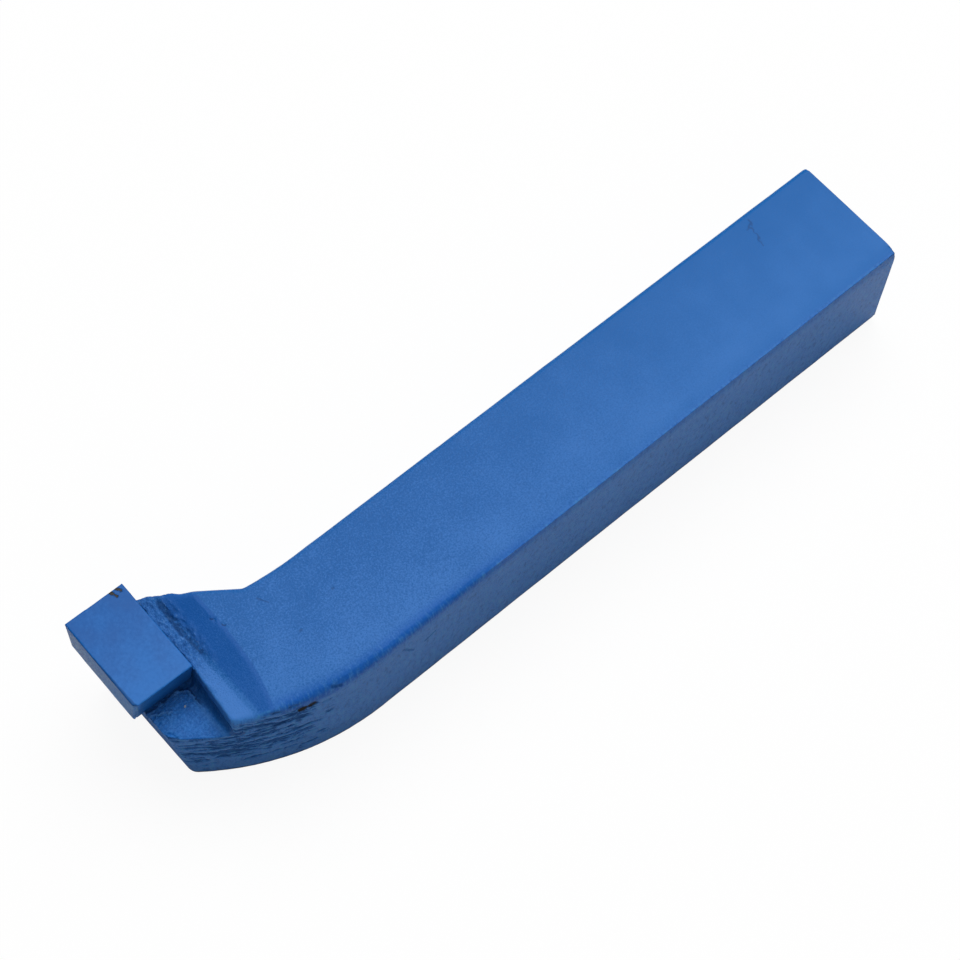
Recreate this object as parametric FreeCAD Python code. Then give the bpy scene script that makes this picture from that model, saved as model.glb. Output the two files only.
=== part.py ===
import FreeCAD, Part
import math
import os

# A brazed carbide lathe tool: a square steel bar whose head is bent to one side, a carbide
# tip in a milled seat at the end of the head, and the braze that holds the tip there.
# Millimetres. +X runs to the sawn butt end, the head bends towards +Y and +Z is up.
# The origin lies on the base face, midway along the straight part of the shank.

# Shank, a hot-rolled square bar
shank_width = 20.0
shank_height = 20.0
straight_length = 101.0
edge_round = 1.0
base_edge_round = 1.2

# Bend, forged hot: the outer wall is a long arc and the inner wall folds at a kink
bend_radius = 43.0
inner_angle = 36.5
inner_swell = 0.7
kink_round = 1.2

# Head, from the start of the bend to the cutting edge
head_reach = 31.1
nose_round = 1.8
front_relief = 9.0
end_relief = 8.0
shelf_drop = 1.8
shelf_width = 1.9
ramp_length = 4.3
ramp_foot_round = 1.5

# Top of the head, which falls away in a wide curve towards the stretched outer side
fall_start = 3.0
fall_inset = 4.0
fall_lift = 0.02
outer_lip = 0.15

# Carbide tip: its length lies across the tool and its width along it
tip_length = 16.0
tip_width = 10.0
tip_thickness = 6.0
tip_end_lean = 8.0
tip_corner_clip = 0.6
tip_front_overhang = 1.8
tip_end_overhang = 1.2

# Stretch of seat left bare beside the tip, and the braze
open_seat = 4.36
braze_film = 0.15
braze_bead = 1.0
bead_hollow = 0.36

# Places that follow from the sizes
butt_x = straight_length / 2
bend_x = -straight_length / 2
outer_y = -shank_width / 2
inner_y = shank_width / 2
tip_front_x = bend_x - head_reach
tip_back_x = tip_front_x + tip_width
tip_floor_z = shank_height - tip_thickness
tip_inset = tip_thickness * math.tan(math.radians(tip_end_lean))
head_front_x = tip_front_x + tip_front_overhang
seat_z = tip_floor_z - braze_film
seat_wall_x = tip_back_x + braze_film
seat_corner_round = 3 * braze_film
shelf_z = shank_height - shelf_drop
ramp_foot_x = seat_wall_x + shelf_width
ramp_top_x = ramp_foot_x + ramp_length
front_slack = (shank_height - seat_z) * math.tan(math.radians(front_relief)) + nose_round
spare_length = head_reach + tip_length
cutter_reach = 2 * spare_length
touch = 0.001

up = FreeCAD.Vector(0, 0, 1)
bend_centre = FreeCAD.Vector(bend_x, outer_y + bend_radius, 0)


def heading(angle):
    """Direction of a bar that has turned through an angle from -X towards +Y."""
    return FreeCAD.Vector(-math.cos(angle), math.sin(angle), 0)


def inward(angle):
    """Direction across such a bar, from its outer wall to its inner wall."""
    return FreeCAD.Vector(math.sin(angle), math.cos(angle), 0)


def on_bend(angle):
    """Point of the outer wall where it has turned through an angle."""
    return bend_centre - inward(angle) * bend_radius


def outer_angle(x):
    """Angle that the outer wall has turned through at a given x of the head."""
    return math.asin((bend_x - x) / bend_radius)


tip_start_y = on_bend(outer_angle(head_front_x)).y + open_seat
tip_end_y = tip_start_y + tip_length
tip_foot_y = tip_start_y + tip_inset
head_end_y = tip_end_y - tip_end_overhang


def closed_face(edges):
    return Part.Face(Part.Wire(edges))


def polygon_face(points):
    return Part.Face(Part.makePolygon(points + points[:1]))


def middle_of(edge):
    return edge.valueAt((edge.FirstParameter + edge.LastParameter) / 2)


def edge_near(solid, point):
    """The edge of a solid whose middle lies nearest to a point."""
    return min(solid.Edges, key=lambda edge: middle_of(edge).distanceToPoint(point))


def edges_along(solid, walls):
    """Edges of a solid whose middle lies over or under one of the walls of its outline."""
    outline = Part.Compound(walls)
    found = []
    for edge in solid.Edges:
        middle = middle_of(edge)
        foot = Part.Vertex(middle.x, middle.y, 0)
        if outline.distToShape(foot)[0] < nose_round:
            found.append(edge)
    return found


def swell_arc(start, end):
    """Arc that leaves start along X and ends at end."""
    step = end - start
    radius = (step.x ** 2 + step.y ** 2) / (2 * step.y)
    half = math.atan2(step.y, abs(step.x))
    middle = start + FreeCAD.Vector(-math.sin(half), 1 - math.cos(half), 0) * radius
    return Part.Arc(start, middle, end).toShape()


def inner_wall_at(x):
    """Point of the head's straight inner wall at a given x."""
    turn = math.radians(inner_angle)
    wall = on_bend(turn) + inward(turn) * shank_width
    return wall + heading(turn) * ((wall.x - x) / math.cos(turn))


def kink_point():
    """Where the swollen inner wall meets the straight inner wall of the head."""
    turn = math.radians(inner_angle)
    wall = on_bend(turn) + inward(turn) * shank_width
    y = inner_y + inner_swell
    return wall + heading(turn) * ((y - wall.y) / math.sin(turn))


def blank_outline():
    """Edges of the bent bar seen from above, with the head still too long."""
    outer_butt = FreeCAD.Vector(butt_x, outer_y, 0)
    inner_butt = FreeCAD.Vector(butt_x, inner_y, 0)
    turn = outer_angle(head_front_x - front_slack)
    outer_end = on_bend(turn) + heading(turn) * spare_length
    kink = kink_point()
    inner_end = kink + heading(math.radians(inner_angle)) * (2 * spare_length)
    swell_start = FreeCAD.Vector(bend_x, inner_y, 0)
    side_walls = [
        Part.LineSegment(outer_butt, on_bend(0)).toShape(),
        Part.Arc(on_bend(0), on_bend(turn / 2), on_bend(turn)).toShape(),
        Part.LineSegment(on_bend(turn), outer_end).toShape(),
        Part.LineSegment(inner_end, kink).toShape(),
        swell_arc(swell_start, kink).reversed(),
        Part.LineSegment(swell_start, inner_butt).toShape(),
    ]
    ends = [
        Part.LineSegment(inner_butt, outer_butt).toShape(),
        Part.LineSegment(outer_end, inner_end).toShape(),
    ]
    return side_walls, ends


def relief_cutter(edge_at_seat, lean, across):
    """Cutter for a ground face that leans back under the edge of the seat."""
    rise = up * cutter_reach + across * (cutter_reach * math.tan(math.radians(lean)))
    low_edge = edge_at_seat - rise
    high_edge = edge_at_seat + rise
    away = across * (2 * cutter_reach)
    along = up.cross(across) * cutter_reach
    block = polygon_face([low_edge, high_edge, high_edge + away, low_edge + away]).extrude(along * 2)
    block.translate(along * -1)
    return block


def fall_cutter():
    """Wedge above the head, whose round underside starts almost level with the top face.

    It starts at a crease from the outer wall to the top of the ramp, and comes down to a small
    lip above the shelf where the outer wall meets the seat."""
    foot = on_bend(outer_angle(bend_x - fall_start)) + up * shank_height
    crest = inner_wall_at(ramp_top_x) + up * shank_height - FreeCAD.Vector(0, fall_inset, 0)
    crease = (foot - crest).normalize() * cutter_reach
    downhill = crease.cross(up).normalize()
    run = downhill.dot(on_bend(outer_angle(seat_wall_x)) - foot)
    depth = shelf_drop - outer_lip
    fall_radius = (run ** 2 + depth ** 2) / (2 * depth)
    centre = foot + up * (fall_lift - fall_radius)

    def fallen(angle):
        return centre + (downhill * math.sin(angle) + up * math.cos(angle)) * fall_radius

    last = 2 * math.asin(run / fall_radius)
    arc = Part.Arc(fallen(0), fallen(last / 2), fallen(last)).toShape()
    crown = FreeCAD.Vector(fallen(last).x, fallen(last).y, foot.z + depth)
    above = Part.makePolygon([fallen(last), crown, foot + up * depth, fallen(0)])
    wedge = closed_face([arc] + above.Edges).extrude(crease * 2)
    wedge.translate(crease * -1)
    return wedge


def step_cutter():
    """Cutter for the ramp, the shelf at its foot and the seat of the tip."""
    high_z = shank_height + cutter_reach
    ramp_x = ramp_foot_x + (high_z - shelf_z) * ramp_length / shelf_drop
    far_x = tip_front_x - cutter_reach
    start_y = -cutter_reach
    ramp_foot = FreeCAD.Vector(ramp_foot_x, start_y, shelf_z)
    seat_corner = FreeCAD.Vector(seat_wall_x, start_y, seat_z)
    profile = [
        FreeCAD.Vector(ramp_x, start_y, high_z),
        ramp_foot,
        FreeCAD.Vector(seat_wall_x, start_y, shelf_z),
        seat_corner,
        FreeCAD.Vector(far_x, start_y, seat_z),
        FreeCAD.Vector(far_x, start_y, high_z),
    ]
    across = FreeCAD.Vector(0, cutter_reach, 0)
    cutter = polygon_face(profile).extrude(across * 2)
    cutter = cutter.makeFillet(ramp_foot_round, [edge_near(cutter, ramp_foot + across)])
    return cutter.makeFillet(seat_corner_round, [edge_near(cutter, seat_corner + across)])


def make_blank():
    """Bent bar with its relief faces, its fall and its lower edges rounded, before milling."""
    side_walls, ends = blank_outline()
    bar = closed_face(Part.__sortEdges__(side_walls + ends)).extrude(up * shank_height)
    front_edge = FreeCAD.Vector(head_front_x, 0, seat_z)
    end_edge = FreeCAD.Vector(0, head_end_y, seat_z)
    bar = bar.cut(relief_cutter(front_edge, front_relief, FreeCAD.Vector(-1, 0, 0)))
    bar = bar.cut(relief_cutter(end_edge, end_relief, FreeCAD.Vector(0, 1, 0)))

    half_height = up * (shank_height / 2)
    nose_x = head_front_x + (seat_z - half_height.z) * math.tan(math.radians(front_relief))
    nose = on_bend(outer_angle(nose_x)) + half_height
    bar = bar.makeFillet(nose_round, [edge_near(bar, nose)])
    bar = bar.makeFillet(kink_round, [edge_near(bar, kink_point() + half_height)])
    base_edges = [edge for edge in edges_along(bar, side_walls) if middle_of(edge).z < touch]
    bar = bar.makeFillet(base_edge_round, base_edges)
    return bar.cut(fall_cutter())


def mill_head(blank):
    """Blank with the ramp, shelf and seat milled into it, and its upper edges rounded."""
    side_walls, ends = blank_outline()
    bar = blank.cut(step_cutter())
    top_edges = [edge for edge in edges_along(bar, side_walls) if middle_of(edge).z > shelf_z - touch]
    return bar.makeFillet(edge_round, top_edges)


def make_tip():
    """Carbide block, shorter underneath than on top, with one front corner clipped."""
    profile = [
        FreeCAD.Vector(tip_front_x, tip_start_y, shank_height),
        FreeCAD.Vector(tip_front_x, tip_end_y, shank_height),
        FreeCAD.Vector(tip_front_x, tip_end_y - tip_inset, tip_floor_z),
        FreeCAD.Vector(tip_front_x, tip_foot_y, tip_floor_z),
    ]
    block = polygon_face(profile).extrude(FreeCAD.Vector(tip_width, 0, 0))
    corner = (profile[0] + profile[3]) * 0.5
    return block.makeChamfer(tip_corner_clip, [edge_near(block, corner)])


def bead(corner, along_floor, run):
    """Hollow bead of filler that follows a corner, with legs along the floor and up the wall."""
    toe = corner + along_floor * braze_bead
    crest = corner + up * braze_bead
    hollow = corner + (along_floor + up) * (braze_bead * bead_hollow)
    arc = Part.Arc(toe, hollow, crest).toShape()
    legs = Part.makePolygon([crest, corner, toe])
    return closed_face([arc] + legs.Edges).extrude(run)


def make_braze(blank, shank, tip):
    """Film under and behind the tip, with a bead along the seat wall and the foot of the tip."""
    film_length = tip_width + braze_film
    under = Part.makeBox(
        film_length,
        tip_length - 2 * tip_inset,
        braze_film,
        FreeCAD.Vector(tip_front_x, tip_foot_y, seat_z),
    )
    behind = Part.makeBox(
        braze_film,
        tip_length,
        shelf_z - seat_z,
        FreeCAD.Vector(tip_back_x, tip_start_y, seat_z),
    )
    wall_foot = FreeCAD.Vector(seat_wall_x, outer_y, seat_z)
    wall_bead = bead(wall_foot, FreeCAD.Vector(-1, 0, 0), FreeCAD.Vector(0, tip_foot_y - outer_y, 0))
    tip_foot = FreeCAD.Vector(tip_front_x, tip_foot_y, seat_z)
    tip_bead = bead(tip_foot, FreeCAD.Vector(0, -1, 0), FreeCAD.Vector(film_length, 0, 0))
    filler = under.multiFuse([behind, wall_bead, tip_bead])
    return filler.common(blank).cut(tip).cut(shank).removeSplitter()


blank = make_blank()
shank = mill_head(blank)
tip = make_tip()
braze = make_braze(blank, shank, tip)

os.makedirs("parts", exist_ok=True)
for name, piece in (("shank", shank), ("carbide_tip", tip), ("braze_layer", braze)):
    piece.exportStep("parts/" + name + ".step")
    print(name, "valid", piece.isValid(), "solids", len(piece.Solids), "volume", round(piece.Volume, 1))
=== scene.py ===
import math

import bmesh
import bpy
from mathutils import Matrix, Vector


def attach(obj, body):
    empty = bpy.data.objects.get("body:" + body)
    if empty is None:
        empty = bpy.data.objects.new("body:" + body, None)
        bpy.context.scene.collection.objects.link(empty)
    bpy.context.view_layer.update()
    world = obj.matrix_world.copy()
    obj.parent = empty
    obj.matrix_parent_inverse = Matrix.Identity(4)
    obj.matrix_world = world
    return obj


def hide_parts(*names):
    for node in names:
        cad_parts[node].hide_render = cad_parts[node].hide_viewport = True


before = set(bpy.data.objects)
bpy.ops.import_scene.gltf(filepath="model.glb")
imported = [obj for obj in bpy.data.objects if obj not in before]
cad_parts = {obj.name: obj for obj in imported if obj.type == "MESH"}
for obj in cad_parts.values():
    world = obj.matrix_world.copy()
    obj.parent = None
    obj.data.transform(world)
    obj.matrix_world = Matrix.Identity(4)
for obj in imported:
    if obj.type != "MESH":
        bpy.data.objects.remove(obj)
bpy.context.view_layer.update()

# The view: a long lens looks down on the tool from beyond its outer side, so the head with
# its carbide block comes nearest and the bar runs away to the sawn end.
lens = bpy.data.cameras.new("long_lens")
lens.lens = 101.44
lens.shift_x = -0.01095
lens.shift_y = -0.03156
viewpoint = bpy.data.objects.new("viewpoint", lens)
viewpoint.location = (-0.14964, -0.11577, 0.36382)
viewpoint.rotation_euler = [math.radians(turn) for turn in (27.192, -3.064, -41.555)]
bpy.context.scene.collection.objects.link(viewpoint)
bpy.context.scene.camera = viewpoint
bpy.context.scene.view_settings.view_transform = "Standard"


# The ground: a large sheet of matt white board under the tool, and a pale room round it. The
# board looks almost pure white from above, and the tool's soft shadow stays on it.
class Wire:
    """One output in a node tree. Sums on it add Math nodes to the same tree."""

    def __init__(self, socket):
        self.socket = socket
        self.tree = socket.id_data

    def node(self, kind, settings, inputs, output=0):
        """Adds a node, sets it up, then fills its sockets by name or number."""
        made = self.tree.nodes.new(kind)
        for name, value in settings.items():
            setattr(made, name, value)
        for name, value in inputs.items():
            if isinstance(value, Wire):
                self.tree.links.new(value.socket, made.inputs[name])
            else:
                made.inputs[name].default_value = value
        return Wire(made.outputs[output]) if made.outputs else None

    def math(self, operation, *values):
        return self.node("ShaderNodeMath", {"operation": operation}, dict(enumerate(values)))

    def __add__(self, other):
        return self.math("ADD", self, other)

    def __radd__(self, other):
        return self.math("ADD", other, self)

    def __sub__(self, other):
        return self.math("SUBTRACT", self, other)

    def __rsub__(self, other):
        return self.math("SUBTRACT", other, self)

    def __mul__(self, other):
        return self.math("MULTIPLY", self, other)

    def __rmul__(self, other):
        return self.math("MULTIPLY", other, self)

    def __truediv__(self, other):
        return self.math("DIVIDE", self, other)

    def __rtruediv__(self, other):
        return self.math("DIVIDE", other, self)


board_share = 0.92
board_in_gloss = 0.05
board_lit = (0.78, 0.78, 0.78, 1)
board_seen = (0.92, 0.92, 0.92, 1)
board_mesh = bpy.data.meshes.new("white_board")
board_mesh.from_pydata([(-1.5, -1.5, 0), (1.5, -1.5, 0), (1.5, 1.5, 0), (-1.5, 1.5, 0)], [], [(0, 1, 2, 3)])
board = bpy.data.objects.new("white_board", board_mesh)
bpy.context.scene.collection.objects.link(board)
board_paint = bpy.data.materials.new("white_board")
board_paint.use_nodes = True
board_paint.node_tree.nodes.clear()
rays = Wire(board_paint.node_tree.nodes.new("ShaderNodeLightPath").outputs["Is Camera Ray"])
glossy = Wire(rays.socket.node.outputs["Is Glossy Ray"])
through = Wire(rays.socket.node.outputs["Is Transmission Ray"])
board_tone = rays.node("ShaderNodeMix", {"data_type": "RGBA"}, {0: rays, 6: board_lit, 7: board_seen}, 2)
matt = rays.node("ShaderNodeBsdfDiffuse", {}, {"Color": board_tone})
plain_white = rays.node("ShaderNodeEmission", {}, {"Color": (1, 1, 1, 1), "Strength": 1.0})
seen_as_white = rays * board_share + (glossy + through) * board_in_gloss
surface = rays.node("ShaderNodeMixShader", {}, {0: seen_as_white, 1: matt, 2: plain_white})
surface.node("ShaderNodeOutputMaterial", {}, {"Surface": surface})
board_mesh.materials.append(board_paint)

room_low = 0.06
room_high = 0.32
room = bpy.data.worlds.new("pale_room")
bpy.context.scene.world = room
room.use_nodes = True
room.node_tree.nodes.clear()
room_rays = Wire(room.node_tree.nodes.new("ShaderNodeLightPath").outputs["Is Camera Ray"])
room_place = Wire(room.node_tree.nodes.new("ShaderNodeTexCoord").outputs["Generated"])
sky = room_place.node("ShaderNodeSeparateXYZ", {}, {0: room_place}, 2)
room_level = sky.math("MAXIMUM", sky, 0.0) * (room_high - room_low) + room_low
room_strength = room_rays * (1 - room_level) + room_level
glow = room_rays.node("ShaderNodeBackground", {}, {"Color": (1, 1, 1, 1), "Strength": room_strength})
glow.node("ShaderNodeOutputWorld", {}, {"Surface": glow})


# The light: one broad soft box hangs over the far side of the tool, and a weak one fills from
# the front. The top faces are bright and the faces that lean to the front fall darker.
def soft_box(name, direction, distance, width, power):
    light = bpy.data.lights.new(name, "AREA")
    light.shape = "DISK"
    light.size = width
    light.energy = power
    holder = bpy.data.objects.new(name, light)
    towards = Vector(direction).normalized()
    holder.location = Vector((-0.02, 0, 0.01)) + towards * distance
    holder.rotation_euler = towards.to_track_quat("Z", "Y").to_euler()
    bpy.context.scene.collection.objects.link(holder)


soft_box("high_soft_box", direction=(0.34, 0.29, 0.9), distance=2.2, width=2.2, power=50.5)
soft_box("front_fill", direction=(-0.4, -0.75, 0.5), distance=1.4, width=0.9, power=1.8)


# The shank: a hot-rolled square bar of steel, bent hot at one end, where ramp, shelf and seat
# are milled. It is sprayed all over with blue paint, which follows every scale mark and
# wrinkle of the forging and dries with a fine orange peel.
paint_deep = (0.006, 0.100, 0.352, 1)
paint_pale = (0.038, 0.169, 0.503, 1)
paint_far_end = (0.0, 0.125, 0.43, 1)
ramp_shade_blue = (0.006, 0.083, 0.355, 1)
edge_shade_blue = (0.0, 0.082, 0.40, 1)
shade_and_mark_blue = (0.0, 0.030, 0.130, 1)
mottle_pale = (0.045, 0.225, 0.46, 1)
mottle_deep = (0.0, 0.065, 0.21, 1)
head_foot_shade = (0.0, 0.060, 0.20, 1)
scale_shade = (0.0, 0.050, 0.215, 1)
scale_glint = (0.13, 0.28, 0.53, 1)
bare_steel = (0.014, 0.012, 0.010, 1)
base_shade_dark = (0.012, 0.014, 0.018, 1)
bar_top_z = 20.0
bend_centre = (-50.5, 33.0)
bend_radius = 43.0
seat_wall_x = -71.45
seat_wall_lean = 0.105
seat_wall_most = 1.1
seat_wall_true_y = 6.6
ramp_foot_x = -69.55
ramp_top_x = -65.25
shelf_z = 18.2
seat_z = 13.85
ramp_slope = (bar_top_z - shelf_z) / (ramp_top_x - ramp_foot_x)
paint_sink = 0.14
paint_gloss = 0.145
long_edge_round = 1.2
bar_width = 20.0
scale_draw = (1.25, 0.6, 1.0)


def root(value):
    return value.math("SQRT", value)


def size_of(value):
    """A number without its sign."""
    return value.math("ABSOLUTE", value)


def in_millimetres(place):
    """Place scaled from metres to millimetres, as a vector and as its three numbers."""
    scaled = place.node("ShaderNodeVectorMath", {"operation": "SCALE"}, {0: place, "Scale": 1000.0})
    apart = scaled.node("ShaderNodeSeparateXYZ", {}, {0: scaled})
    outputs = apart.socket.node.outputs
    return scaled, Wire(outputs[0]), Wire(outputs[1]), Wire(outputs[2])


def grade(value, low, high):
    """Rises smoothly from 0 at low to 1 at high."""
    return value.node(
        "ShaderNodeMapRange",
        {"interpolation_type": "SMOOTHSTEP"},
        {0: value, 1: low, 2: high, 3: 0.0, 4: 1.0},
    )


def least(first, second):
    return first.math("MINIMUM", first, second)


def most(first, second):
    return first.math("MAXIMUM", first, second)


def between(value, low, high, soft):
    """1 where the value lies between two limits, with soft ends."""
    return grade(value, low - soft, low + soft) * (1 - grade(value, high - soft, high + soft))


def noise(place, grain, detail=2.0, rough=0.5):
    """Cloudy noise from 0 to 1 with lumps about as large as grain, in millimetres."""
    return place.node(
        "ShaderNodeTexNoise",
        {"noise_dimensions": "3D"},
        {"Vector": place, "Scale": 1.0 / grain, "Detail": detail, "Roughness": rough},
    )


def swing(place, grain, width, detail=2.0, rough=0.5):
    """Noise that swings to both sides of 0, by up to half the width each way."""
    return noise(place, grain, detail, rough) * width - width / 2


def spot(place, centre, radii, turn=0.0):
    """1 at a centre, falling to 0 at the rim of an ellipsoid that is turned about Z."""
    moved = place.node("ShaderNodeVectorMath", {"operation": "SUBTRACT"}, {0: place, 1: centre})
    turned = moved.node(
        "ShaderNodeVectorRotate",
        {"rotation_type": "Z_AXIS"},
        {"Vector": moved, "Angle": math.radians(-turn)},
    )
    sized = turned.node("ShaderNodeVectorMath", {"operation": "DIVIDE"}, {0: turned, 1: radii})
    reach = sized.node("ShaderNodeVectorMath", {"operation": "LENGTH"}, {0: sized}, "Value")
    return 1 - grade(reach, 0.35, 1.0)


def stroke(u, v, start, end, width, wander):
    """1 along a short line between two points of a flat pattern, with a ragged edge."""
    length = math.dist(start, end)
    run_u, run_v = (end[0] - start[0]) / length, (end[1] - start[1]) / length
    from_u, from_v = u - start[0], v - start[1]
    reach = least(most(from_u * run_u + from_v * run_v, 0.0), length)
    off_u, off_v = from_u - reach * run_u, from_v - reach * run_v
    away = root(off_u * off_u + off_v * off_v)
    return 1 - grade(away + wander, width * 0.4, width)


def strokes(u, v, lines, wander):
    """The strongest of several strokes, each given by its two ends and its width."""
    marks = stroke(u, v, *lines[0], wander)
    for line in lines[1:]:
        marks = most(marks, stroke(u, v, *line, wander))
    return marks


def stretched(x, y, z, shares):
    """A vector of three numbers, each scaled, for noise that is drawn out one way."""
    return x.node("ShaderNodeCombineXYZ", {}, {0: x * shares[0], 1: y * shares[1], 2: z * shares[2]})


def round_the_bend(x, y):
    """Depth under the bar's outer wall, and the way round the bend along it, which stays 0 on
    the straight bar, in millimetres."""
    east = least(x - bend_centre[0], 0.0)
    south = bend_centre[1] - y
    depth = bend_radius - root(east * east + south * south)
    along = (0 - east).math("ARCTAN2", 0 - east, south) * bend_radius
    return depth, along


def wall_wrinkles(place):
    """Long thin cracks that open along the outer wall where the hot bar was stretched."""
    place, x, y, z = in_millimetres(place)
    depth, along = round_the_bend(x, y)
    on_wall = between(depth, -0.6, 0.32, 0.1) * between(along, 8.0, 40.0, 1.0)
    drift = noise(place, 2.4) * 1.5
    flow = stretched(along, z - along * 0.05 + drift, depth, (0.19, 1.0, 0.1))
    ridge = noise(flow, 0.9, 3.0, 0.6) - 0.5
    open_width = noise(stretched(along, z, depth, (0.26, 1.2, 0.1)), 1.0, 1.0)
    dense = between(along, 11.5, 28.0, 2.5) * between(z + along * 0.12, 8.2, 20.4, 1.8)
    sparse = between(along, 9.0, 31.0, 3.0) * between(z, 2.5, 17.5, 1.5) * 0.35
    by_the_nose = between(along, 23.0, 35.5, 2.0) * between(z, 4.5, 13.9, 1.2) * 0.7
    where = most(most(dense, by_the_nose), sparse)
    open_width = grade(open_width + where * 0.3, 0.60, 0.86)
    crack = 1 - grade(size_of(ridge), 0.0, open_width * 0.13 + 0.0005)
    return crack * open_width * on_wall


def shelf_scale(place):
    """Where flux and filler ran along the foot of the ramp and set in lumps."""
    place, x, y, z = in_millimetres(place)
    sway = swing(place, 2.2, 1.6)
    band = between(x + sway, -72.6, ramp_foot_x + 1.5, 0.7) * between(z, 17.2, 19.7, 0.4)
    return band * grade(y, 2.5, 9.0)


def ramp_burr(place):
    """The torn lip at the top of the ramp."""
    place, x, y, z = in_millimetres(place)
    wander = swing(place, 0.55, 1.3, 3.0, 0.7)
    lines = (((-65.5, 10.2), (-65.1, 8.4), 0.2), ((-65.05, 8.5), (-64.5, 7.3), 0.2))
    torn = strokes(x + wander, y, lines, 0.0)
    return torn * grade(noise(place, 0.9), 0.42, 0.56) * grade(z, 18.9, 19.2)


def top_marks(place):
    """Scratches and pits on the bar's top face."""
    place, x, y, z = in_millimetres(place)
    wander = swing(place, 0.8, 0.24)
    crooked = swing(place, 1.3, 2.6, 1.0)
    scratch = stroke(x, y, (-58.67, 7.93), (-57.89, 6.48), 0.17, wander)
    squiggle = stroke(x + crooked, y, (36.41, 8.56), (35.79, 3.9), 0.24, wander)
    near_pit = spot(place, (-49.67, 2.31, bar_top_z), (0.42, 0.3, 0.6))
    far_pit = spot(place, (-57.11, 0.3, bar_top_z), (0.45, 0.3, 0.6))
    return most(most(scratch, squiggle), most(near_pit, far_pit)) * grade(z, 19.0, 19.4)


def worn_corner(lumps):
    """How far the outer corner of the seat's floor is rubbed down, in millimetres."""
    return spot(lumps, (-79.8, 1.2, 13.9), (1.5, 1.5, 1.2)) * 0.45


def shank_relief(place, normal):
    """Height of the painted surface over the steel's nominal face, in millimetres."""
    lumps, x, y, z = in_millimetres(place)
    depth, along = round_the_bend(x, y)
    forged = noise(lumps, 9.0) * 0.09 + noise(lumps, 2.6) * 0.04
    pits = grade(noise(lumps, 1.1), 0.70, 0.80) * 0.05

    # Scale stands in lumps on the shelf, and the edges of the milled faces are ragged.
    flakes = swing(stretched(x, y, z, scale_draw), 0.75, 1.3, 5.0, 0.7)
    scale = shelf_scale(place) * flakes * (1 - grade(y, 14.5, 17.0) * 0.75)
    by_the_wall = between(z, 12.0, 18.9, 0.4) * between(x, -72.6, -70.6, 0.3)
    by_the_front = between(x, -82.0, -78.6, 0.4) * (1 - grade(z, 12.5, 13.4))
    ragged = (by_the_wall + by_the_front) * swing(lumps, 0.7, 0.34, 3.0, 0.6)

    # The ramp's outer and the shelf's inner edge are sharper than the solid's.
    milled_z = least(most((x - ramp_foot_x) * ramp_slope, 0.0), bar_top_z - shelf_z) + shelf_z
    under = least(most(1 - (milled_z - z), 0.0), 1.0)
    inward = least(most(1 - depth, 0.0), 1.0)
    outer_edge = inward * under * between(x, -69.4, -67.0, 0.7) * grade(z, 16.9, 17.3) * 0.35
    tilt = normal.node("ShaderNodeSeparateXYZ", {}, {0: normal}, 1)
    level = most(root(1 - tilt * tilt), most(size_of(tilt), 0.3))
    squared = (1.0 / level - 1) * between(z, 16.9, 20.5, 0.3) * grade(tilt, 0.02, 0.1)
    inner_edge = squared * between(x, -73.5, -66.6, 0.7) * (1 - grade(z, 19.1, 19.7)) * 1.1

    # The long edge is rolled over where the bar is stretched round the bend.
    rolled = most(1 - depth * 0.36, 0.0)
    drop = most(1 - (bar_top_z - z) * 0.36, 0.0)
    rolled = rolled * rolled * drop * drop * between(along, 0.0, 14.0, 3.0) * 0.7

    sunk = pits + wall_wrinkles(place) * 0.22 + ramp_burr(place) * 0.25 + top_marks(place) * 0.06
    droop = grade(y, 14.5, 18.0) * (1 - grade(x, -71.2, -69.6)) * grade(z, 16.8, 17.6) * 0.45
    raised = forged + scale + ragged + outer_edge + inner_edge
    return raised - rolled - sunk - worn_corner(lumps) - droop - paint_sink


def shank_shift(place):
    """Two shifts of the steel, in millimetres: the milled wall of the open seat leans in as it
    nears the outer wall, and the bar's long edge is squarer along its straight part."""
    _, x, y, z = in_millimetres(place)
    depth, _ = round_the_bend(x, y)
    on_seat_wall = (1 - grade(x, -71.2, -69.3)) * grade(x, -72.2, -72.0) * grade(z, 13.95, 14.8)
    push = least(most((seat_wall_true_y - y) * seat_wall_lean, 0.0), seat_wall_most) * on_seat_wall
    follow_wall = push * (1 - grade(depth, 0.3, 2.0)) * 0.56
    over = most(long_edge_round - depth, 0.0)
    up = most(z - (bar_top_z - long_edge_round), 0.0)
    reach = over * over + up * up
    squarer = (root(reach) / most(most(over, up), 0.01) - 1) * grade(reach, 0.0, 0.04)
    squarer = squarer * grade(x, -38.0, -20.0)
    shifts = {0: 0 - push, 1: follow_wall - over * squarer, 2: up * squarer}
    return push.node("ShaderNodeCombineXYZ", {}, shifts)


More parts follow.
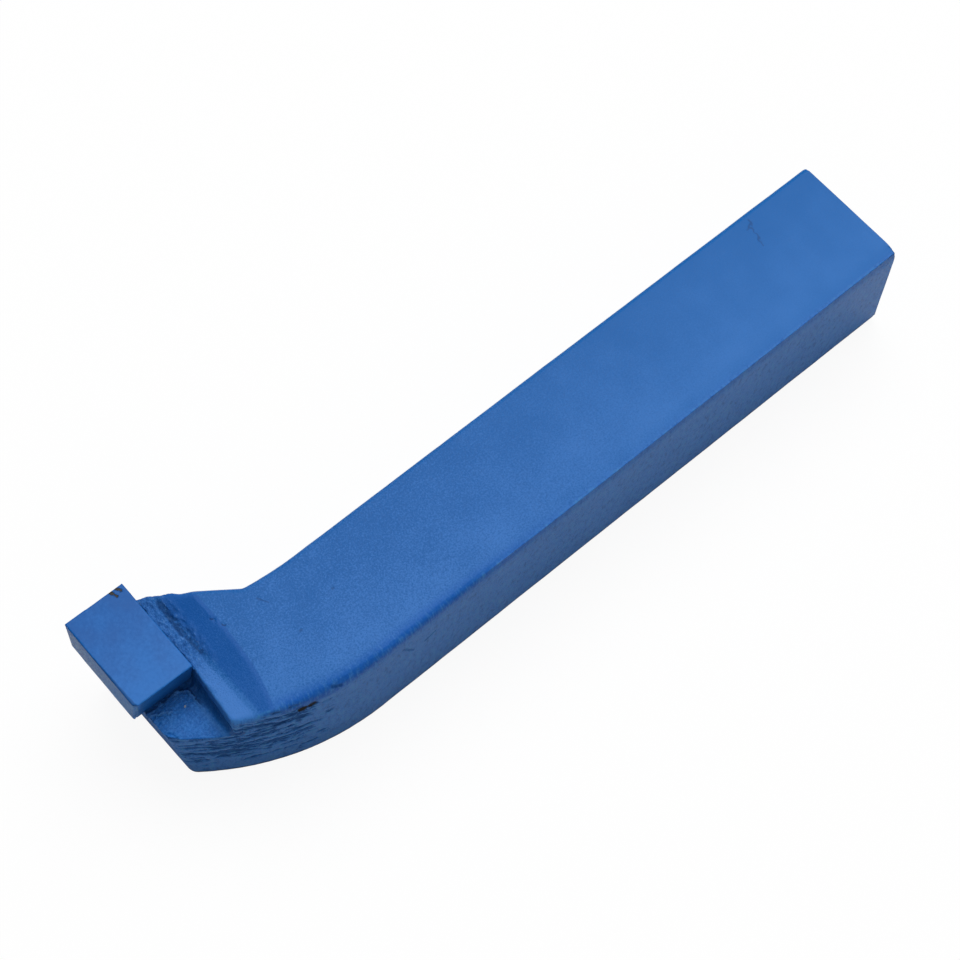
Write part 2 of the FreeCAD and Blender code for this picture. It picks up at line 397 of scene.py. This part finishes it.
def relief_tree(name, relief, paint, shift=None):
    """Geometry nodes that shift a skin, raise and sink it along its normals, then paint it."""
    tree = bpy.data.node_groups.new(name, "GeometryNodeTree")
    tree.interface.new_socket("Skin", in_out="INPUT", socket_type="NodeSocketGeometry")
    tree.interface.new_socket("Relief depth", in_out="INPUT", socket_type="NodeSocketFloat")
    tree.interface.new_socket("Painted skin", in_out="OUTPUT", socket_type="NodeSocketGeometry")
    start = tree.nodes.new("NodeGroupInput")
    skin, depth = Wire(start.outputs[0]), Wire(start.outputs[1])
    place = Wire(tree.nodes.new("GeometryNodeInputPosition").outputs[0])
    normal = Wire(tree.nodes.new("GeometryNodeInputNormal").outputs[0])
    if shift:
        by = {0: shift(place), "Scale": 0.001}
        lean = place.node("ShaderNodeVectorMath", {"operation": "SCALE"}, by)
        skin = skin.node("GeometryNodeSetPosition", {}, {"Geometry": skin, "Offset": lean})
    rise = relief(place, normal) * depth * 0.001
    offset = normal.node("ShaderNodeVectorMath", {"operation": "SCALE"}, {0: normal, "Scale": rise})
    moved = skin.node("GeometryNodeSetPosition", {}, {"Geometry": skin, "Offset": offset})
    real = moved.node("GeometryNodeRealizeInstances", {}, {0: moved})
    painted = real.node("GeometryNodeSetMaterial", {}, {"Geometry": real, "Material": paint})
    painted.node("NodeGroupOutput", {}, {0: painted})
    return tree


def painted_skin(name, bodies, grain, keep, tree):
    """One closed skin round some meshes, with softened edges and the relief of its paint."""
    shape = bmesh.new()
    for body in bodies:
        shape.from_mesh(body)
    bmesh.ops.remove_doubles(shape, verts=shape.verts, dist=1e-6)
    mesh = bpy.data.meshes.new(name)
    shape.to_mesh(mesh)
    shape.free()
    piece = bpy.data.objects.new(name, mesh)
    bpy.context.scene.collection.objects.link(piece)
    skin = piece.modifiers.new("skin", "REMESH")
    skin.mode = "VOXEL"
    skin.voxel_size = grain
    soft = piece.modifiers.new("soft_edges", "SMOOTH")
    soft.factor = 0.5
    soft.iterations = 2
    coat = piece.modifiers.new("coat", "NODES")
    coat.node_group = tree
    coat[tree.interface.items_tree["Relief depth"].identifier] = 1.0
    fewer = piece.modifiers.new("fewer", "DECIMATE")
    fewer.ratio = keep
    seen = piece.evaluated_get(bpy.context.evaluated_depsgraph_get())
    finished = bpy.data.meshes.new_from_object(seen)
    piece.modifiers.clear()
    piece.data = finished
    finished.name = name
    finished.shade_smooth()
    return piece


def new_paint(name):
    """A material, the place on the object that its patterns read, and its shader."""
    paint = bpy.data.materials.new(name)
    paint.use_nodes = True
    paint.node_tree.nodes.clear()
    place = Wire(paint.node_tree.nodes.new("ShaderNodeTexCoord").outputs["Object"])
    shader = place.node("ShaderNodeBsdfPrincipled", {}, {"Specular IOR Level": paint_gloss})
    place.node("ShaderNodeOutputMaterial", {}, {"Surface": shader})
    return paint, place, shader.socket.node


def mix(share, first, second):
    """The first colour where the share is 0, and the second where it is 1."""
    return share.node("ShaderNodeMix", {"data_type": "RGBA"}, {0: share, 6: first, 7: second}, 2)


def plug(shader, name, wire):
    """Joins a wire to one of the shader's sockets."""
    wire.tree.links.new(wire.socket, shader.inputs[name])


def bump(height):
    """Normals of a surface whose height is given in millimetres."""
    return height.node("ShaderNodeBump", {}, {"Strength": 1.0, "Distance": 0.001, "Height": height})


shank_paint, place, shader = new_paint("shank_paint")
lumps, x, y, z = in_millimetres(place)
depth, along = round_the_bend(x, y)
way = along - most(x - bend_centre[0], 0.0)
cloud = noise(lumps, 6.0, 3.0)
grains = noise(lumps, 0.28, 3.0, 0.75)
near_head = 1 - grade(x, -45.0, 45.0)
straight = grade(x, -45.0, -10.0)

# The paint is drawn palest along the outer side of the top, and the face that falls away is painted lighter
# as painted light.
across = (bar_width - most(depth, 3.0)) * (0.011 - near_head * 0.004) + near_head * 0.045
falling = between(along, 11.0, 30.0, 5.0) * (1 - grade(depth, 3.0, 13.0)) * grade(z, 17.5, 18.2)
on_shelf = (1 - grade(x, ramp_foot_x - 0.3, ramp_foot_x + 0.3)) * between(z, 17.6, 18.6, 0.2)
over_ramp = z - shelf_z - (x - ramp_foot_x) * ramp_slope
on_ramp = between(over_ramp, -0.28, 0.3, 0.05) * grade(z, 18.3, 18.6)
on_side = 1 - grade(depth, 0.4, 0.9)
# The grain is stronger near the head, partly real grain and partly painted glints of the rough paint.
grainy = (grains - 0.5) * (near_head * 0.85 + 0.25)
tone = cloud * 0.25 + grainy + across + falling * 0.07 + 0.215
# Painted light on the shelf, and painted shade on the ramp, which is also mixed towards a darker blue.
tone = tone + on_shelf * 0.12 - on_ramp * 0.06 + on_side * 0.10
colour = mix(grade(tone, 0.3, 0.68), paint_deep, paint_pale)
colour = mix((1 - near_head) * (1 - on_side) * 0.45, colour, paint_far_end)
colour = mix(on_ramp * 0.6, colour, ramp_shade_blue)

# The outer side is mottled, and darker under the head.
mottled = noise(stretched(way, z, depth, (1.2, 0.55, 1.0)), 0.9, 4.0, 0.8)
colour = mix(on_side * grade(mottled, 0.48, 0.64) * 0.6, colour, mottle_pale)
colour = mix(on_side * grade(mottled, 0.5, 0.34) * 0.55, colour, mottle_deep)
under_head = on_side * (1 - grade(z, 2.0, 9.0)) * grade(way, -15.0, 5.0)
colour = mix(under_head * 0.18, colour, head_foot_shade)

# The rounded edge has streaks across it, which are longest round the bend, and painted shade darkens it
# there.
streaks = noise(stretched(way, depth, z, (1.0, 0.22, 0.22)), 0.3, 2.0, 0.6)
rolled_edge = 1 - grade(depth + straight * 1.1 + streaks * 1.6 - 0.8, 0.7, 2.7)
rolled_edge = rolled_edge * grade(z + between(along, 6.0, 26.0, 4.0) * 0.8, 17.9, 18.8)
rolled_edge = rolled_edge * (1 - straight * 0.35) * grade(x, -67.8, -65.4)
colour = mix(rolled_edge * grade(streaks, 0.25, 0.6) * 0.85, colour, edge_shade_blue)

# Scale on the shelf, its lumps painted with shade and glints.
scaly = shelf_scale(place)
flecks = noise(stretched(x, y, z, scale_draw), 0.55, 5.0, 0.8)
colour = mix(scaly * grade(flecks, 0.56, 0.38) * 0.75, colour, scale_shade)
colour = mix(scaly * grade(flecks, 0.54, 0.68) * 0.5, colour, scale_glint)
# A dark groove along the ramp's foot, drawn as a line of painted shade.
ragged = swing(lumps, 0.5, 0.9, 3.0, 0.6)
groove_lines = (((-69.1, 16.8), (-69.5, 11.0), 0.5), ((-69.4, 10.2), (-69.2, 7.2), 0.35))
groove = strokes(x + ragged, y, groove_lines, ragged)
colour = mix(groove * grade(z, 17.6, 17.9) * 0.6, colour, shade_and_mark_blue)

# Cracks, scratches and the torn lip of the ramp, darkened with painted shade in their hollows.
cracks = wall_wrinkles(place)
colour = mix(cracks * 0.9, colour, shade_and_mark_blue)
colour = mix(top_marks(place) * 0.45, colour, shade_and_mark_blue)
colour = mix(ramp_burr(place) * 0.85, colour, shade_and_mark_blue)

# Chips in the outer wall, bare to the steel where the wall tore, and a dark line of painted shade along the
# base.
on_wall = between(depth, -0.6, 0.7, 0.15)
torn_lines = (
    ((11.75, 17.25), (12.1, 17.12), 0.85),
    ((13.15, 16.95), (13.5, 16.85), 0.85),
    ((12.1, 17.12), (13.15, 16.95), 0.42),
)
torn = strokes(along, z, torn_lines, ragged) * on_wall
nick_lines = (((14.2, 16.6), (15.2, 16.2), 0.42), ((15.6, 14.7), (17.4, 14.0), 0.42))
faint_lines = (((-3.5, 16.0), (-5.2, 13.4), 0.34), ((-7.4, 13.4), (-9.3, 14.0), 0.3))
edge_nick = stroke(way, z, (7.3, 18.6), (8.6, 19.1), 0.3, ragged) * 0.6
faint_nicks = strokes(way, z, faint_lines, ragged) * 0.4
nicks = most(strokes(along, z, nick_lines, ragged), most(edge_nick, faint_nicks)) * on_wall
colour = mix(nicks * 0.8, colour, shade_and_mark_blue)
colour = mix(torn, colour, bare_steel)
base_shade = 1 - grade(z + noise(lumps, 1.2) * 0.6, 1.3, 1.9)
colour = mix(base_shade * 0.85, colour, base_shade_dark)
plug(shader, "Base Color", colour)
bare = most(torn, most(cracks, nicks))
plug(shader, "Roughness", grade(grains, 0.2, 0.8) * 0.14 + 0.38 + bare * 0.45)
peel = (noise(lumps, 0.9, 2.0) * 0.03 + grains * 0.075) * (near_head * 0.7 + 0.3)
height = peel + rolled_edge * streaks * 0.09 + scaly * flecks * 0.22 - bare * 0.10
plug(shader, "Normal", bump(height))

shank_tree = relief_tree("shank_relief", shank_relief, shank_paint, shank_shift)
shank_bodies = [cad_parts["shank"].data]
shank_skin = painted_skin("shank_skin", shank_bodies, grain=0.00025, keep=0.5, tree=shank_tree)
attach(shank_skin, "root")
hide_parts("shank")


# The carbide block: sintered carbide, ground on all its faces, with ends that lean in towards
# the seat. It is brazed in by hand, so it sits a degree askew, and the same paint covers it.
tip_deep = (0.0, 0.088, 0.345, 1)
tip_pale = (0.018, 0.148, 0.482, 1)
front_sheen_grey = (0.14, 0.30, 0.42, 1)
dust_dark = (0.04, 0.06, 0.09, 1)
bare_carbide = (0.022, 0.019, 0.014, 1)
block_turn = math.radians(-1.1)
block_width_share = 0.985
block_centre = Vector((-0.0765, 0.0138, 0.017))
block_set_back = 0.00006
block_slip = -0.00006
block_height = 6.0
block_front_x = -81.45
front_lean = 0.12
end_lean = 0.14


def tip_relief(place, normal):
    """The slight waves of the paint over ground faces, in millimetres."""
    lumps = in_millimetres(place)[0]
    return noise(lumps, 4.0) * 0.03 + noise(lumps, 1.3) * 0.012 - 0.03


def tip_shift(place):
    """The ground clip on the front corner runs out to a point at the block's foot."""
    _, x, y, z = in_millimetres(place)
    on_corner = (1 - grade(x, block_front_x, block_front_x + 0.4)) * (1 - grade(y, 7.3, 8.3))
    low = (bar_top_z - z) / block_height * on_corner
    return low.node("ShaderNodeCombineXYZ", {}, {0: 0.0, 1: low * -0.45, 2: 0.0})


tip_paint, place, shader = new_paint("tip_paint")
lumps, x, y, z = in_millimetres(place)
cloud = noise(lumps, 5.0, 2.0)
grains = noise(lumps, 0.45, 2.0)
tone = cloud * 0.4 + grains * 0.3 + (22 - y) * 0.014 + 0.02
colour = mix(grade(tone, 0.3, 0.7), tip_deep, tip_pale)
from_front = x + (y - block_centre.y * 1000) * math.tan(-block_turn) - block_front_x
on_top = grade(z, 19.6, 19.8)
front_face = (1 - grade(from_front - (bar_top_z - z) * front_lean, 0.0, 0.25)) * (1 - on_top)
# The front face is painted paler and greyer as a painted reflection of the floor, with dark specks.
dust_and_sheen = noise(lumps, 0.5, 3.0, 0.7)
colour = mix(front_face * grade(dust_and_sheen, 0.42, 0.62) * 0.55, colour, front_sheen_grey)
colour = mix(front_face * grade(dust_and_sheen, 0.44, 0.34) * 0.5, colour, dust_dark)
# The end faces are darkened with painted shade.
end_face = 1 - grade(y + (z - bar_top_z) * end_lean, 6.3, 6.5)
end_face = end_face * (1 - on_top) * grade(from_front, 0.6, 0.9)
colour = mix(end_face * 0.32, colour, shade_and_mark_blue)
# The top is darker along its front edge.
front_rim_dark = (1 - grade(from_front + noise(lumps, 0.6) * 0.3, 0.22, 0.4)) * grade(z, 19.4, 19.7)
colour = mix(front_rim_dark * 0.55, colour, shade_and_mark_blue)
ragged = swing(lumps, 0.45, 0.9, 3.0, 0.7)
chip_lines = (((-73.55, 21.6), (-73.2, 20.6), 0.33), ((-72.7, 21.6), (-72.25, 20.85), 0.3))
chipped = strokes(x, y, chip_lines, ragged) * on_top
colour = mix(chipped, colour, bare_carbide)
plug(shader, "Base Color", colour)
plug(shader, "Roughness", grade(cloud, 0.2, 0.8) * 0.1 + 0.36)
peel = noise(lumps, 1.4, 1.0) * 0.015 + grains * 0.01
plug(shader, "Normal", bump(peel + front_face * dust_and_sheen * 0.12 - chipped * 0.05))

askew = (
    Matrix.Translation(block_centre + Vector((block_set_back, block_slip, 0)))
    @ Matrix.Rotation(block_turn, 4, "Z")
    @ Matrix.Diagonal((block_width_share, 1, 1, 1))
    @ Matrix.Translation(-block_centre)
)
block_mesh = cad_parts["carbide_tip"].data.copy()
block_mesh.transform(askew)
tip_tree = relief_tree("tip_relief", tip_relief, tip_paint, tip_shift)
carbide_block = painted_skin("carbide_block", [block_mesh], grain=0.00013, keep=0.6, tree=tip_tree)
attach(carbide_block, "root")
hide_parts("carbide_tip")


# The braze: brass filler that drew under and behind the block as a thin film, and ran out
# over the open part of the seat, where it set in ripples and crept up the corners.
filler_deep = (0.003, 0.088, 0.34, 1)
filler_pale = (0.024, 0.155, 0.48, 1)
band_light_blue = (0.05, 0.19, 0.50, 1)
lip_highlight_blue = (0.06, 0.20, 0.50, 1)
speck_grey = (0.30, 0.30, 0.24, 1)
ripple_draw = (0.5, 1.3, 0.4)
pool_x = -74.6
pool_y = 4.8
pad_front_x = -79.75
pad_block_y = 6.75
pad_depth = 0.25
creep = 1.6


def round_the_pool(x, y):
    """How far a place lies towards the wall and the block, past the middle of the open seat."""
    over_x, over_y = most(x - pool_x, 0.0), most(y - pool_y, 0.0)
    return root(over_x * over_x + over_y * over_y)


def pool_lip(lumps, x, y, z):
    """The ragged lips at which the filler stopped: one round the pool, one short of it."""
    wander = swing(lumps, 0.7, 1.1, 3.0, 0.65)
    far = between(round_the_pool(x, y) + wander, 1.12, 1.4, 0.12) * grade(y, 1.0, 4.0)
    near = stroke(x + wander, y + wander, (-79.4, 5.7), (-76.9, 4.3), 0.3, 0.0)
    return most(far, near) * (1 - grade(z, 14.8, 15.4))


def braze_relief(place, normal):
    """Ripples and lips of the set filler, in millimetres."""
    lumps, x, y, z = in_millimetres(place)
    near_wall = grade(x, -74.0, -72.2)
    ripples = swing(stretched(x, y, z, ripple_draw), 0.8, 1.1, 3.0, 0.6)
    rough = ripples * most(grade(y, 1.8, 5.2) * (1 - grade(z, 15.0, 16.0)), near_wall * 0.4)
    waves = swing(lumps, 0.8, 0.14, 3.0)
    return waves + rough * 0.7 + pool_lip(lumps, x, y, z) * 0.34 - worn_corner(lumps)


def puddle_mesh():
    """The filler on the open part of the seat, as a thin closed pad with a rippled top."""
    across, along = 80, 120
    wall_x = seat_wall_x + 0.3
    points, faces = [], []
    for level in (0, 1):
        for i in range(along + 1):
            for j in range(across + 1):
                x = pad_front_x + (wall_x - pad_front_x) * i / along
                into_bend = math.sqrt(bend_radius**2 - (bend_centre[0] - x) ** 2)
                edge_y = bend_centre[1] - into_bend + 0.12
                y = edge_y + (pad_block_y - edge_y) * (j / across)
                z = seat_z - pad_depth
                if level:
                    lean = min(seat_wall_most, seat_wall_lean * (seat_wall_true_y - y))
                    from_wall = max(0.0, seat_wall_x - lean - x)
                    from_block = max(pad_block_y - 0.02 - y, 0)
                    curve = creep - math.sqrt(creep**2 - max(0.0, creep - from_wall) ** 2)
                    bead = 0.3 * math.exp(-from_block / 0.35)
                    wave = math.sin(2.9 * y + 1.2 * math.sin(0.8 * x))
                    ripple = 0.12 * wave * math.exp(-from_block / 1.8)
                    near_edge = min(1.0, (y - edge_y) / 0.4, (x - pad_front_x) / 0.5)
                    z = seat_z + 0.03 + near_edge * max(0.0, curve + bead + ripple + 0.04)
                points.append((x / 1000, y / 1000, z / 1000))
    row = across + 1
    top = (along + 1) * row
    for i in range(along):
        for j in range(across):
            a = i * row + j
            faces.append((a, a + 1, a + row + 1, a + row))
            faces.append((top + a, top + a + row, top + a + row + 1, top + a + 1))
    for i in range(along):
        a, b = i * row, (i + 1) * row
        faces.append((a, b, top + b, top + a))
        a, b = a + across, b + across
        faces.append((a, top + a, top + b, b))
    for j in range(across):
        faces.append((j, top + j, top + j + 1, j + 1))
        a = along * row + j
        faces.append((a, a + 1, top + a + 1, top + a))
    mesh = bpy.data.meshes.new("puddle")
    mesh.from_pydata(points, [], faces)
    return mesh


braze_paint, place, shader = new_paint("braze_paint")
lumps, x, y, z = in_millimetres(place)
cloud = noise(lumps, 1.6, 3.0)
grains = noise(lumps, 0.34, 3.0, 0.75)
colour = mix(grade(cloud * 0.3 + grains * 0.7, 0.38, 0.62), filler_deep, filler_pale)
ripples = noise(stretched(x, y, z, ripple_draw), 0.8, 4.0, 0.65)
past = round_the_pool(x, y)
# The creases of the ripples get painted shade.
creases = (1 - grade(size_of(ripples - 0.5), 0.0, 0.045)) * grade(y, 1.6, 5.0)
colour = mix(creases * 0.5, colour, shade_and_mark_blue)
# Painted light on a band round the pool and on the lip, and painted shade on the filler up the wall and
# behind the lip.
colour = mix(between(past, 0.85, 1.45, 0.2) * (1 - grade(y, 1.5, 4.5)) * 0.3, colour, band_light_blue)
colour = mix(grade(past, 1.45, 2.0) * 0.55, colour, shade_and_mark_blue)
wander = swing(lumps, 0.7, 1.1, 3.0, 0.65)
behind_lip = between(past + wander, 1.42, 1.75, 0.12) * grade(y, 1.0, 4.0)
colour = mix(behind_lip * 0.9, colour, shade_and_mark_blue)
colour = mix(pool_lip(lumps, x, y, z) * 0.6, colour, lip_highlight_blue)
speck = spot(lumps, (-74.97, 3.86, 13.95), (0.24, 0.18, 0.6), 30.0)
colour = mix(grade(speck, 0.1, 0.4) * 0.7, colour, speck_grey)
plug(shader, "Base Color", colour)
plug(shader, "Roughness", grade(cloud, 0.2, 0.8) * 0.15 + 0.33)
height = grains * 0.13 + noise(lumps, 0.7, 3.0) * 0.06 + ripples * grade(y, 1.6, 6.2) * 0.3
plug(shader, "Normal", bump(height))

braze_tree = relief_tree("braze_relief", braze_relief, braze_paint)
braze_bodies = [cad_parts["braze_layer"].data, puddle_mesh()]
braze_fill = painted_skin("braze_fill", braze_bodies, grain=0.00009, keep=0.5, tree=braze_tree)
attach(braze_fill, "root")
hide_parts("braze_layer")
